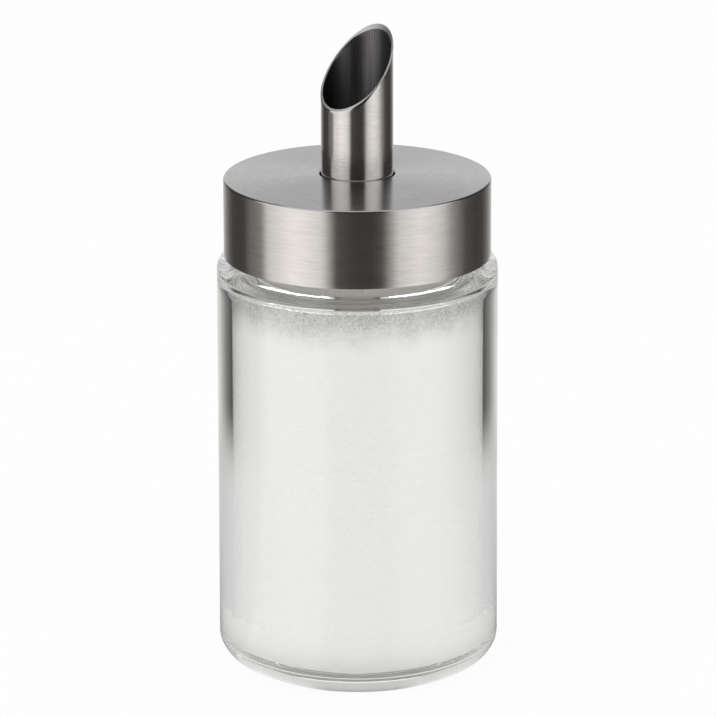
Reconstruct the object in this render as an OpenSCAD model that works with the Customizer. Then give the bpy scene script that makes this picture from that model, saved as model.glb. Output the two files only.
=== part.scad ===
// Table dispenser for sugar: a glass jar, a twist-off steel lid and a pouring spout with a flap.
// The jar stands on Z = 0 with its axis on Z. All sizes are in millimetres.

/* [Glass jar] */
// Outside diameter of the jar
jar_d = 75; // [73:0.5:80]
// Thickness of the glass wall
glass_wall = 3.9; // [2:0.1:4.4]
// Height at which the straight wall ends and the shoulder starts
wall_top = 110.7; // [80:0.1:150]
// Radius of the shoulder
shoulder_r = 3.9; // [3.5:0.1:4.8]
// Thickness of the glass between the shoulder's top and the jar's inside
shoulder_glass = 5.7; // [3:0.1:7]
// Height of the neck above the shoulder
neck_h = 17; // [15.6:0.1:22]
// Thickness of the neck's wall
neck_wall = 2; // [1.6:0.1:3]
// Radius of the fillet at the neck's foot
neck_foot_r = 1.2; // [0.4:0.1:2]
// Share of the neck's wall that each rounded edge of its rim takes
rim_share = 0.4; // [0.1:0.05:0.45]
// Thickness of the glass floor at its centre
floor_t = 6.5; // [4:0.1:9]
// How far the rounded heel reaches in from the wall
heel_reach = 15.4; // [6:0.1:18]
// Height of the rounded heel
heel_h = 9.7; // [4:0.1:14]
// Reach of the rounded corner inside the jar
corner_reach = 12; // [4:0.1:18]
// Height of the rounded corner inside the jar
corner_h = 8; // [3:0.1:14]
// Diameter of the hollow under the base
hollow_d = 34; // [20:1:40]
// Depth of the hollow under the base
hollow_depth = 1.2; // [0.5:0.1:2.5]

/* [Lid] */
// How far the shell's side stands in from the jar's
lid_inset = 1.9; // [1.2:0.05:3]
// Thickness of the steel sheet
sheet = 0.6; // [0.4:0.05:1]
// Radius of the shell's edges
lid_edge_r = 0.6; // [0.3:0.05:1.5]
// Rise of the shell's domed top from its rim to its axis
lid_crown = 1.3; // [0.2:0.1:3]
// Gap between the shell's lower edge and the glass shoulder
lid_gap = 0.2; // [0.2:0.05:1]
// Thickness of the plastic liner's web
web_t = 2; // [1.6:0.1:3]
// Thickness of the liner's skirt
skirt_t = 2.3; // [1.6:0.05:3]
// Room for lugs between the neck and the liner's skirt
lug_room = 1.65; // [1.2:0.05:2]
// Gap between the liner's skirt and the glass shoulder
skirt_gap = 1; // [0.5:0.1:3]
// Number of ribs between the liner's web and its socket
rib_count = 6; // [4:2:12]
// Thickness of a rib
rib_t = 1.2; // [0.8:0.1:2]
// Gap between a rib and the neck's bore
rib_gap = 3; // [1:0.1:8]
// Height of a rib at its outer end
rib_end_h = 1; // [0.6:0.1:3]
// Thickness of the sealing ring
gasket_t = 1.5; // [1:0.1:2.5]
// How far the sealing ring stands in from the neck's bore
gasket_in = 0.5; // [0:0.1:1.5]
// How far the sealing ring stands out from the neck
gasket_out = 0.9; // [0.2:0.1:1]

/* [Spout] */
// Outside diameter of the spout
spout_d = 19.3; // [18.8:0.1:23]
// Thickness of the spout's wall
spout_wall = 0.6; // [0.5:0.05:0.8]
// Height of the spout's tip above the lid
spout_rise = 39.9; // [36:0.1:60]
// Slope of the mouth at the spout's axis
mouth_angle = 46; // [35:0.5:50]
// Radius of the hollow that the mouth is ground to
mouth_hollow = 147; // [90:1:400]
// Direction of the tip, counted from +X
mouth_turn = 48.7; // [0:0.1:360]
// How far the bevel inside the tip bites across the ground face
bevel_bite = 0.62; // [0.2:0.02:0.7]
// Lean of that bevel away from the spout's axis
bevel_lean = 18; // [10:1:30]
// Radius of the countersink that makes the bevel
bevel_r = 6.7; // [6.3:0.1:7.2]
// Gap between the spout and the hole in the lid
hole_gap = 0.35; // [0.2:0.05:0.6]
// How far the flange that holds the spout under the lid stands out from it
flange_reach = 6.35; // [3.5:0.05:8]
// Thickness of that flange
flange_t = 0.8; // [0.5:0.1:1]

/* [Flap] */
// Depth of the flap's seat below the lowest point of the mouth
seat_depth = 9.5; // [8:0.1:14]
// How far the seat reaches in from the spout's bore to the hole that the flap closes
seat_reach = 3.45; // [3.3:0.05:5]
// Thickness of the seat
seat_t = 2; // [1.5:0.1:4]
// Width of the raised land that the flap rests on
land_w = 0.5; // [0.3:0.05:0.8]
// Height of that land
land_h = 0.3; // [0.1:0.05:0.6]
// Overlap of the flap on its seat
flap_lap = 0.8; // [0.6:0.05:1]
// Thickness of the flap
flap_t = 0.6; // [0.4:0.05:0.8]
// Gap between the flap's edge and the hinge's axis
hinge_gap = 0.3; // [0.1:0.05:0.4]
// Diameter of the hinge pin
pin_d = 1; // [0.8:0.05:1.1]
// Thickness of metal round the pin, in the knuckle and in the ears
eye_t = 0.45; // [0.35:0.05:0.5]
// Thickness of each of the seat's two ears
ear_t = 1; // [0.8:0.05:1.2]

/* [Dosing tube] */
// Outside diameter of the dosing tube
dose_d = 12; // [9:0.1:13]
// Thickness of its wall
dose_wall = 0.6; // [0.4:0.05:1]
// Gap between its lower end and the jar's floor
dose_gap = 3; // [1.5:0.1:8]
// Slope of its lower end
dose_angle = 45; // [20:1:50]
// Depth to which the tube is pushed into the funnel's stem
stem_h = 6; // [3:0.1:10]
// Thickness of the funnel's plastic
funnel_t = 1.2; // [0.8:0.1:2]
// Depth to which the spout reaches into the liner's socket
socket_depth = 7.8; // [5:0.1:9]
// Thickness of the socket's wall
socket_wall = 2.2; // [1.5:0.1:3]
// Thickness of the socket's lip, which carries the funnel
socket_lip = 1.1; // [0.8:0.1:2]

/* [Hidden] */
$fn = 128;

// Clearances: pressed together, pushed in by hand, running on a pin, free of a neighbour
press_fit = 0.01;
push_fit = 0.05;
run_fit = 0.05;
free_fit = 0.2;
// How far a cutter runs past what it cuts
past = 1;
// Steps along a rounded stretch of an outline, and along the lid's low dome
steps = 12;
crown_steps = 3;

steel = "#b5b1ad";
glass = [0.86, 0.91, 0.9, 0.4];
plastic = "#e9e8e4";
rubber = "#d8d6d0";

// Jar
jar_r = jar_d / 2;
jar_in_r = jar_r - glass_wall;
shoulder_in = jar_r - shoulder_r;
shoulder_top = wall_top + shoulder_r;
jar_h = shoulder_top + neck_h;

// Side of the lid, from the shell inwards to the jar's neck
lid_r = jar_r - lid_inset;
shell_in_r = lid_r - sheet;
skirt_r = shell_in_r - push_fit;
skirt_in_r = skirt_r - skirt_t;
neck_r = skirt_in_r - lug_room;
neck_in_r = neck_r - neck_wall;
neck_fillet = min(neck_foot_r, shoulder_in - neck_r);
rim_r = neck_wall * rim_share;
in_shoulder_r = (jar_in_r - neck_in_r) / 2;
in_shoulder_z = shoulder_top - shoulder_glass + in_shoulder_r;
// Radius of the shallow dome under the base, and half the angle that it spans
dome_r = ((hollow_d / 2) ^ 2 + hollow_depth ^ 2) / (2 * hollow_depth);
dome_a = asin(hollow_d / 2 / dome_r);

// Lid, from the neck's rim upwards
web_z = jar_h + gasket_t;
lid_in_z = web_z + web_t;
lid_top = lid_in_z + sheet;
// Radius of the domed top, and the heights of its centre for the outside and the inside
crown_reach = lid_r - lid_edge_r;
crown_r = (crown_reach ^ 2 + lid_crown ^ 2) / (2 * lid_crown);
crown_z = lid_top + lid_crown - crown_r;
in_crown_z = lid_in_z - sqrt(crown_r ^ 2 - shell_in_r ^ 2);
shell_over = max(0, shell_in_r - shoulder_in);
lid_low = wall_top + sqrt(shoulder_r ^ 2 - shell_over ^ 2) + lid_gap;
skirt_low = shoulder_top + skirt_gap;

// Spout, in a frame where its tip points along +X
spout_r = spout_d / 2;
bore_r = spout_r - spout_wall;
hole_r = spout_r + hole_gap;
spout_tip = lid_top + spout_rise;
spout_low = lid_in_z - socket_depth;
hollow_x = -mouth_hollow * sin(mouth_angle);
hollow_z = spout_tip + sqrt(mouth_hollow ^ 2 - (spout_r - hollow_x) ^ 2);
tip_slope = asin((bore_r - hollow_x) / mouth_hollow);
flange_r = spout_r + flange_reach;
flange_z = lid_in_z - flange_t;

// Flap, its seat, and the hinge between them
seat_z = mouth_z(-spout_r) - seat_depth;
seat_r = bore_r - press_fit;
hole_in_r = bore_r - seat_reach;
flap_r = hole_in_r + flap_lap;
flap_z = seat_z + run_fit;
pin_r = pin_d / 2;
knuckle_r = pin_r + run_fit + eye_t;
ear_r = pin_r + eye_t;
hinge_x = flap_r + hinge_gap;
hinge_z = seat_z + knuckle_r + free_fit;
ear_y = sqrt((seat_r - free_fit) ^ 2 - (hinge_x + ear_r) ^ 2);
knuckle_y = ear_y - ear_t - free_fit;

// Dosing tube, its funnel, and the liner's socket that holds the funnel under the spout
dose_r = dose_d / 2;
dose_in_r = dose_r - dose_wall;
socket_in_r = spout_r + push_fit;
socket_r = socket_in_r + socket_wall;
funnel_z = spout_low - (bore_r - dose_in_r);
socket_low = funnel_z - socket_lip;
stem_r = dose_r + press_fit + funnel_t;
dose_top = funnel_z - funnel_t;
stem_low = dose_top - stem_h;
dose_low = floor_t + dose_gap;
rib_reach = neck_in_r - rib_gap;
rib_start = socket_in_r + socket_wall / 2;

// Height of the ground mouth at a distance x from the spout's axis, towards the tip
function mouth_z(x) = hollow_z - sqrt(mouth_hollow ^ 2 - (x - hollow_x) ^ 2);

// Points on an elliptic arc about (x, z), from angle a0 to a1
function arc(x, z, rx, rz, a0, a1, n = steps) =
    [for (i = [0:n]) let (a = a0 + (a1 - a0) * i / n) [x + rx * cos(a), z + rz * sin(a)]];

module glass_jar() {
    outside = concat(
        arc(0, hollow_depth - dome_r, dome_r, dome_r, 90, 90 - dome_a),
        arc(jar_r - heel_reach, heel_h, heel_reach, heel_h, -90, 0),
        arc(shoulder_in, wall_top, shoulder_r, shoulder_r, 0, 90),
        arc(neck_r + neck_fillet, shoulder_top + neck_fillet, neck_fillet, neck_fillet, 270, 180),
        arc(neck_r - rim_r, jar_h - rim_r, rim_r, rim_r, 0, 90));
    inside = concat(
        arc(neck_in_r + rim_r, jar_h - rim_r, rim_r, rim_r, 90, 180),
        arc(neck_in_r + in_shoulder_r, in_shoulder_z, in_shoulder_r, in_shoulder_r, 180, 270),
        arc(jar_in_r - in_shoulder_r, in_shoulder_z - 2 * in_shoulder_r,
            in_shoulder_r, in_shoulder_r, 90, 0),
        arc(jar_in_r - corner_reach, floor_t + corner_h, corner_reach, corner_h, 0, -90),
        [[0, floor_t]]);
    color(glass) rotate_extrude() polygon(concat(outside, inside));
}

module lid_shell() {
    rounded_r = hole_r + lid_edge_r;
    from_axis = asin(rounded_r / crown_r);
    rim_a = asin(crown_reach / crown_r);
    side_a = asin(shell_in_r / crown_r);
    hole_a = asin(hole_r / crown_r);
    outside = concat(
        arc(rounded_r, crown_z + crown_r * cos(from_axis) - lid_edge_r, lid_edge_r, lid_edge_r, 180, 90),
        arc(0, crown_z, crown_r, crown_r, 90 - from_axis, 90 - rim_a, crown_steps),
        arc(lid_r - lid_edge_r, lid_top - lid_edge_r, lid_edge_r, lid_edge_r, 90, 0));
    inside = concat(
        [[lid_r, lid_low], [shell_in_r, lid_low]],
        arc(0, in_crown_z, crown_r, crown_r, 90 - side_a, 90 - hole_a, crown_steps));
    color(steel) rotate_extrude() polygon(concat(outside, inside));
}

module lid_liner() {
    color(plastic) {
        rotate_extrude() polygon([
            [skirt_r, lid_in_z], [skirt_r, skirt_low], [skirt_in_r, skirt_low],
            [skirt_in_r, web_z], [socket_r, web_z], [socket_r, socket_low],
            [stem_r + push_fit, socket_low], [stem_r + push_fit, funnel_z],
            [socket_in_r, funnel_z], [socket_in_r, flange_z],
            [flange_r + push_fit, flange_z], [flange_r + push_fit, lid_in_z]]);
        for (i = [0:rib_count - 1]) rotate([0, 0, 360 / rib_count * (i + 0.5)]) liner_rib();
    }
}

// One rib of the liner, on the +X side: it starts inside the socket's wall and ends in the web
module liner_rib() {
    rib_top = web_z + (flange_z - web_z) / 2;
    rotate([90, 0, 0]) linear_extrude(rib_t, center = true) polygon([
        [rib_start, rib_top], [rib_reach, rib_top], [rib_reach, web_z - rib_end_h],
        [socket_r, socket_low + socket_lip], [rib_start, socket_low + socket_lip]]);
}

module lid_gasket() {
    color(rubber) translate([0, 0, jar_h]) difference() {
        cylinder(r = neck_r + gasket_out, h = gasket_t);
        translate([0, 0, -past]) cylinder(r = neck_in_r - gasket_in, h = gasket_t + 2 * past);
    }
}

module spout_tube() {
    length = spout_tip - spout_low;
    color(steel) rotate([0, 0, mouth_turn]) difference() {
        translate([0, 0, spout_low]) cylinder(r = spout_r, h = length + past);
        translate([0, 0, spout_low - past]) cylinder(r = bore_r, h = length + 3 * past);
        translate([hollow_x, 0, hollow_z]) rotate([90, 0, 0])
            cylinder(r = mouth_hollow, h = 2 * spout_d, center = true, $fn = 360);
        tip_countersink();
    }
}

// Cone that bevels the bore's edge at the tip; its base lies on the ground face
module tip_countersink() {
    flare = tan(tip_slope + bevel_lean);
    deep = bevel_r / flare;
    back = bevel_bite - bevel_r;
    translate([bore_r + back * cos(tip_slope), 0, mouth_z(bore_r) + back * sin(tip_slope)])
        rotate([0, -tip_slope, 0]) translate([0, 0, -deep])
            cylinder(r1 = 0, r2 = (deep + past) * flare, h = deep + past);
}

module spout_flange() {
    color(steel) translate([0, 0, flange_z]) difference() {
        cylinder(r = flange_r, h = flange_t);
        translate([0, 0, -past]) cylinder(r = spout_r + press_fit, h = flange_t + 2 * past);
    }
}

module flap_seat() {
    color(steel) rotate([0, 0, mouth_turn]) difference() {
        union() {
            rotate_extrude() polygon([
                [seat_r, seat_z - seat_t], [seat_r, seat_z - land_h],
                [hole_in_r + land_w, seat_z - land_h], [hole_in_r + land_w, seat_z],
                [hole_in_r, seat_z], [hole_in_r, seat_z - seat_t / 2],
                [hole_in_r + seat_t / 2, seat_z - seat_t]]);
            for (side = [-1, 1]) translate([hinge_x, side * (ear_y - ear_t / 2), 0]) seat_ear();
        }
        hinge_cylinder(pin_r + press_fit, spout_d);
    }
}

// One ear of the seat, from inside the seat up to a rounded top about the pin
module seat_ear() {
    foot_z = seat_z - seat_t / 2;
    rotate([90, 0, 0]) linear_extrude(ear_t, center = true) union() {
        translate([0, hinge_z]) circle(r = ear_r, $fn = 48);
        translate([-ear_r, foot_z]) square([2 * ear_r, hinge_z - foot_z]);
    }
}

// A cylinder on the hinge's axis, centred on the spout's plane of symmetry
module hinge_cylinder(r, h) {
    translate([hinge_x, 0, hinge_z]) rotate([90, 0, 0]) cylinder(r = r, h = h, center = true, $fn = 48);
}

module flap() {
    color(steel) rotate([0, 0, mouth_turn]) difference() {
        union() {
            translate([0, 0, flap_z]) cylinder(r = flap_r, h = flap_t);
            translate([0, -knuckle_y, flap_z]) cube([hinge_x, 2 * knuckle_y, flap_t]);
            hinge_cylinder(knuckle_r, 2 * knuckle_y);
        }
        hinge_cylinder(pin_r + run_fit, spout_d);
    }
}

module flap_pin() {
    color(steel) rotate([0, 0, mouth_turn]) hinge_cylinder(pin_r, 2 * ear_y);
}

module dosing_funnel() {
    color(plastic) rotate_extrude() polygon([
        [bore_r, spout_low], [dose_in_r, funnel_z], [dose_in_r, dose_top],
        [dose_r + press_fit, dose_top], [dose_r + press_fit, stem_low], [stem_r, stem_low],
        [stem_r, funnel_z], [spout_r, funnel_z], [spout_r, spout_low]]);
}

module dosing_tube() {
    length = dose_top - dose_low;
    cut = 2 * dose_d / cos(dose_angle);
    color(steel) rotate([0, 0, mouth_turn]) difference() {
        translate([0, 0, dose_low]) cylinder(r = dose_r, h = length);
        translate([0, 0, dose_low - past]) cylinder(r = dose_in_r, h = length + 2 * past);
        translate([dose_r, 0, dose_low]) rotate([0, dose_angle, 0]) translate([-cut, -dose_d, -cut])
            cube([2 * cut, 2 * dose_d, cut]);
    }
}

glass_jar();
lid_shell();
lid_liner();
lid_gasket();
spout_tube();
spout_flange();
flap_seat();
flap();
flap_pin();
dosing_funnel();
dosing_tube();
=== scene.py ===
"""Looks of a table dispenser for sugar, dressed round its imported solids.

The jar, the sugar, the lid and the spout are surfaces worked out with numpy, from the boxes of the
solids that they stand for and from a few named sizes. Lengths are in metres and Z is the common
axis of jar, lid and spout. The lens stands on the -Y side.
"""

import logging
import math
from dataclasses import dataclass
from enum import Enum
from typing import Callable

import bpy
import numpy as np
from mathutils import Matrix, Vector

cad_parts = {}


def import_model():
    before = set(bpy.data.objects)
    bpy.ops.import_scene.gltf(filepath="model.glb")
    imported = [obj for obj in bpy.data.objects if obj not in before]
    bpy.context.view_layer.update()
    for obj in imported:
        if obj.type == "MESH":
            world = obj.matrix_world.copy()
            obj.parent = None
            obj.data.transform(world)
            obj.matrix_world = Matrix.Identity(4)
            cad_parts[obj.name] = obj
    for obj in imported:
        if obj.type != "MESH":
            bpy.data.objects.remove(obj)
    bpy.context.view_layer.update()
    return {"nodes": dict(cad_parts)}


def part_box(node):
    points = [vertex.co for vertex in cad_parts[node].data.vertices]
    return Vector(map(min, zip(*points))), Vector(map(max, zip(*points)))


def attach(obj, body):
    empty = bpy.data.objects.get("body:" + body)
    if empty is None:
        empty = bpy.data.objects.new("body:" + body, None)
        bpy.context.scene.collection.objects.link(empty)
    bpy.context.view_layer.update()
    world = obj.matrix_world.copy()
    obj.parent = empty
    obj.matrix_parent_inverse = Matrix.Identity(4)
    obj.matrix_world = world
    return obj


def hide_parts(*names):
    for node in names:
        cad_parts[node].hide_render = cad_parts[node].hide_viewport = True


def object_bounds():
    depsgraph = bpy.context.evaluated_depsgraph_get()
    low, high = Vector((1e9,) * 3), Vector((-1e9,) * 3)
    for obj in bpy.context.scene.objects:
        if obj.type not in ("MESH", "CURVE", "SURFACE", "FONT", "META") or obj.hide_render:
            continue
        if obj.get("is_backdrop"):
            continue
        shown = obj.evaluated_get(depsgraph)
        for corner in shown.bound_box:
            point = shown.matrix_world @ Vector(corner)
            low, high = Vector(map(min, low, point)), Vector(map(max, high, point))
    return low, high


LOG = logging.getLogger("dispenser")
MM = 0.001
# Direction of the spout's tip, counted from +X towards +Y
MOUTH_TURN = math.radians(48.7)
# Vertices round a turned piece, on large diameters and round the spout
FINE_TURN = 288
SPOUT_TURN = 320
# Bounces of light in glass and past clear faces, and the brightest that a bounce may be
GLASS_BOUNCES = 64
CLEAR_BOUNCES = 16
BRIGHTEST_BOUNCE = 6.0

Socket = bpy.types.NodeSocket
Outputs = bpy.types.bpy_prop_collection


class Body(Enum):
    """The frame's bodies that new pieces ride on."""

    JAR = "jar"
    LID = "lid"


class Slot(Enum):
    """Names of the record's material slots, passed along with new pieces."""

    GLASS = "jar_glass"
    LID_STEEL = "lid_steel"
    SPOUT_STEEL = "spout_steel"
    PLASTIC = "liner_plastic"


# Profiles and grids


def arc(centre: tuple, radii: tuple, start: float, end: float, count: int) -> np.ndarray:
    """Points of an elliptic arc: centre + radii times (cos a, sin a), with a from start to end.

    Args:
        centre: (r, z) of the ellipse's centre.
        radii: its half axes along r and z.
        start: first angle in degrees.
        end: last angle in degrees.
        count: number of points.

    Returns:
        An array of (r, z) rows.
    """
    angle = np.radians(np.linspace(start, end, count))
    return np.array(centre) + np.array(radii) * np.stack([np.cos(angle), np.sin(angle)], 1)


def join(*stretches: np.ndarray, step: float) -> np.ndarray:
    """Joins stretches of a profile and adds points on its long straight edges.

    Args:
        stretches: arrays of (r, z) rows.
        step: longest edge that is left without a point between its ends.

    Returns:
        One array of (r, z) rows, without doubled points.
    """
    doubled = 1e-7
    rows = np.concatenate(stretches)
    edge = np.linalg.norm(np.diff(rows, axis=0), axis=1)
    rows = rows[np.concatenate([[True], edge > doubled])]
    edge = np.linalg.norm(np.diff(rows, axis=0), axis=1)
    parts = np.maximum(1, np.ceil(edge / step)).astype(int)
    along = np.concatenate([[0], np.cumsum(parts)])
    return np.stack([np.interp(np.arange(along[-1] + 1), along, rows[:, k]) for k in (0, 1)], 1)


def grid_faces(rows: int, columns: int, closed_rows: bool) -> np.ndarray:
    """Quads of a grid whose rows are rings: each joins a vertex to the next in both ways.

    Args:
        rows: number of rings.
        columns: vertices in a ring.
        closed_rows: whether the last ring joins the first.

    Returns:
        An array of four vertex numbers a face.
    """
    row, column = np.meshgrid(
        np.arange(rows if closed_rows else rows - 1), np.arange(columns), indexing="ij"
    )
    above, beside = (row + 1) % rows, (column + 1) % columns
    corners = (row, column), (row, beside), (above, beside), (above, column)
    return np.stack([r * columns + c for r, c in corners], -1).reshape(-1, 4)


def make_object(
    name: str, points: np.ndarray, faces: list, sharp: float = 35.0
) -> bpy.types.Object:
    """Makes a smooth-shaded mesh object at the origin.

    Args:
        name: the piece's name.
        points: vertices, one row each, in metres.
        faces: arrays of vertex numbers, one row a face.
        sharp: angle in degrees past which an edge stays sharp.

    Returns:
        The new object, linked to the scene.
    """
    mesh = bpy.data.meshes.new(name)
    mesh.from_pydata(points.tolist(), [], [f for block in faces for f in block.tolist()])
    mesh.validate()
    mesh.shade_smooth()
    mesh.set_sharp_from_angle(angle=math.radians(sharp))
    made = bpy.data.objects.new(name, mesh)
    bpy.context.scene.collection.objects.link(made)
    return made


def turned(
    name: str,
    profile: np.ndarray,
    columns: int,
    swell: Callable[[np.ndarray, np.ndarray, np.ndarray], np.ndarray] | None = None,
) -> bpy.types.Object:
    """Turns a profile round Z: a row (r, z) at angle a becomes (r cos a, r sin a, z).

    The profile runs with the solid on its left, seen with r to the right and z up. It starts and
    ends on the axis, or else it closes on itself as a ring's section does.

    Args:
        name: the piece's name.
        profile: (r, z) rows.
        columns: vertices round the axis.
        swell: gives what to add to r, from the arrays of r, z and angle.

    Returns:
        The new object.
    """
    solid = profile[0, 0] < 1e-9
    rings = profile[1:-1] if solid else profile
    angle = np.linspace(0, 2 * np.pi, columns, endpoint=False)
    r, a = np.meshgrid(rings[:, 0], angle, indexing="ij")
    z = np.repeat(rings[:, 1:], columns, 1)
    if swell is not None:
        r = r + swell(r, z, a)
    points = np.stack([r * np.cos(a), r * np.sin(a), z], -1).reshape(-1, 3)
    faces = [grid_faces(len(rings), columns, not solid)]
    if solid:
        first, last = len(points), len(points) + 1
        ends = [[0, 0, profile[0, 1]], [0, 0, profile[-1, 1]]]
        points = np.concatenate([points, ends])
        here = np.arange(columns)
        beside = (here + 1) % columns
        top = (len(rings) - 1) * columns
        faces.append(np.stack([np.full(columns, first), beside, here], 1))
        faces.append(np.stack([top + here, top + beside, np.full(columns, last)], 1))
    return make_object(name, points, faces)


def smooth_noise(r: np.ndarray, z: np.ndarray, a: np.ndarray, seed: int, size: float) -> np.ndarray:
    """Smooth seeded noise on a turned surface: a sum of sine waves in angle and height.

    Args:
        r: radii of the surface.
        z: heights.
        a: angles in radians.
        seed: seed of the waves' directions and phases.
        size: usual length of a wave in metres.

    Returns:
        Values of about -1 to 1, which repeat after a full turn.
    """
    draw = np.random.default_rng(seed)
    total = np.zeros_like(a)
    count = 14
    radius = float(np.median(r))
    # Each wave runs at a tilt of its own, and whole waves go round so that it closes
    for _ in range(count):
        tilt = draw.uniform(0, np.pi)
        wave = 2 * np.pi / (size * draw.uniform(0.7, 1.6))
        turns = round(wave * math.cos(tilt) * radius)
        total += np.sin(turns * a + wave * math.sin(tilt) * z + draw.uniform(0, 2 * np.pi))
    return total / math.sqrt(count / 2) / 2


# Shader nodes


class Graph:
    """A node tree with short calls to add and join nodes."""

    def __init__(self, tree: bpy.types.NodeTree) -> None:
        """Keeps the tree and clears it.

        Args:
            tree: the node tree to fill.
        """
        self.tree = tree
        tree.nodes.clear()

    def feed(self, node: bpy.types.Node, **inputs: object) -> None:
        """Sets or joins a node's inputs.

        Args:
            node: the node.
            inputs: values to set or sockets to join, keyed by the input's name with _ for a space,
                or by in0, in1 ... for its number.
        """
        for key, value in inputs.items():
            numbered = key.startswith("in") and key[2:].isdigit()
            place = int(key[2:]) if numbered else key.replace("_", " ")
            if isinstance(value, Socket):
                self.tree.links.new(value, node.inputs[place])
            else:
                node.inputs[place].default_value = value

    def add(self, kind: str, settings: dict | None = None, **inputs: object) -> bpy.types.Node:
        """Adds a node.

        Args:
            kind: the node's type name.
            settings: attributes to set on the node.
            inputs: as feed() takes them.

        Returns:
            The new node.
        """
        node = self.tree.nodes.new(kind)
        for key, value in (settings or {}).items():
            setattr(node, key, value)
        self.feed(node, **inputs)
        return node

    def place_group(self, tree: bpy.types.ShaderNodeTree, **inputs: object) -> Outputs:
        """Adds a node group and sets its inputs as feed() does; returns its output sockets."""
        return self.add("ShaderNodeGroup", {"node_tree": tree}, **inputs).outputs

    def math(self, operation: str, first: object, second: object = 0.0) -> Socket:
        """One step of arithmetic on sockets or numbers; returns its output socket."""
        step = self.add("ShaderNodeMath", {"operation": operation}, in0=first, in1=second)
        return step.outputs[0]

    def scaled(self, *terms: tuple) -> Socket:
        """The sum of terms, each a (socket or number, factor) pair; returns its output socket."""
        total, *others = [self.math("MULTIPLY", value, factor) for value, factor in terms]
        for other in others:
            total = self.math("ADD", total, other)
        return total

    def place(self) -> Socket:
        """The point's Object coordinates."""
        return self.add("ShaderNodeTexCoord").outputs["Object"]

    def parts(self) -> list:
        """The X, Y and Z of the point's Object coordinates."""
        return list(self.add("ShaderNodeSeparateXYZ", None, in0=self.place()).outputs)

    def about_z(self) -> tuple:
        """Where the point lies about the Z axis.

        Returns:
            (its distance from the axis, [cosine, sine] of its angle round it, its height).
        """
        x, y, z = self.parts()
        squares = [self.math("MULTIPLY", part, part) for part in (x, y)]
        r = self.math("MAXIMUM", self.math("SQRT", self.math("ADD", *squares)), 1e-5)
        return r, [self.math("DIVIDE", part, r) for part in (x, y)], z

    def vector(self, x: object, y: object, z: object) -> Socket:
        """A vector of three sockets or numbers."""
        return self.add("ShaderNodeCombineXYZ", None, in0=x, in1=y, in2=z).outputs[0]

    def noise(self, at: Socket, scale: object, detail: float, roughness: float = 0.5) -> Socket:
        """Soft noise at a place, from 0 to 1."""
        return self.add(
            "ShaderNodeTexNoise", None, Vector=at, Scale=scale, Detail=detail, Roughness=roughness
        ).outputs[0]

    def bump(self, height: Socket, depth: float, strength: float = 1.0) -> Socket:
        """The normal of a surface with bumps of this height, depth metres deep where it is 1."""
        return self.add(
            "ShaderNodeBump", None, Strength=strength, Distance=depth, Height=height
        ).outputs[0]

    def span(
        self,
        value: object,
        start: float,
        end: float,
        first: float = 0.0,
        last: float = 1.0,
        eased: bool = False,
    ) -> Socket:
        """Carries a value from one span over to another, and keeps it within that.

        Args:
            value: the socket to carry over.
            start: the value that becomes first.
            end: the value that becomes last.
            first: what start becomes.
            last: what end becomes.
            eased: whether it starts and ends gently.

        Returns:
            The output socket.
        """
        kind = {"interpolation_type": "SMOOTHSTEP" if eased else "LINEAR"}
        limits = {"in1": start, "in2": end, "in3": first, "in4": last}
        return self.add("ShaderNodeMapRange", kind, in0=value, **limits).outputs[0]

    def mix(self, share: object, first: object, second: object) -> Socket:
        """Mixes two numbers: first where share is 0, second where it is 1."""
        return self.add("ShaderNodeMix", None, in0=share, in2=first, in3=second).outputs[0]

    def mix_colours(self, share: object, first: object, second: object) -> Socket:
        """Mixes two colours: first where share is 0, second where it is 1."""
        colours = {"data_type": "RGBA"}
        return self.add("ShaderNodeMix", colours, in0=share, in6=first, in7=second).outputs[2]

    def ramp(self, value: object, stops: list) -> Socket:
        """A colour ramp.

        Args:
            value: the socket that drives it.
            stops: (place, grey level or colour) pairs in rising order.

        Returns:
            The colour's socket.
        """
        node = self.add("ShaderNodeValToRGB", None, Fac=value)
        elements = node.color_ramp.elements
        while len(elements) < len(stops):
            elements.new(0.5)
        for element, (place, level) in zip(elements, stops):
            element.position = place
            grey = (level,) * 3 if isinstance(level, (int, float)) else level
            element.color = (*grey, 1)
        return node.outputs[0]


def group(name: str, inputs: dict, outputs: tuple) -> tuple:
    """Makes an empty shader node group whose inputs and outputs are numbers.

    Args:
        name: the group's name.
        inputs: each input's name and default value.
        outputs: each output's name.

    Returns:
        (the group, its Graph, its input sockets by name, its output node).
    """
    made = bpy.data.node_groups.new(name, "ShaderNodeTree")
    kind = "NodeSocketFloat"
    for key, value in inputs.items():
        made.interface.new_socket(name=key, in_out="INPUT", socket_type=kind).default_value = value
    for key in outputs:
        made.interface.new_socket(name=key, in_out="OUTPUT", socket_type=kind)
    graph = Graph(made)
    return made, graph, graph.add("NodeGroupInput").outputs, graph.add("NodeGroupOutput")


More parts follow.
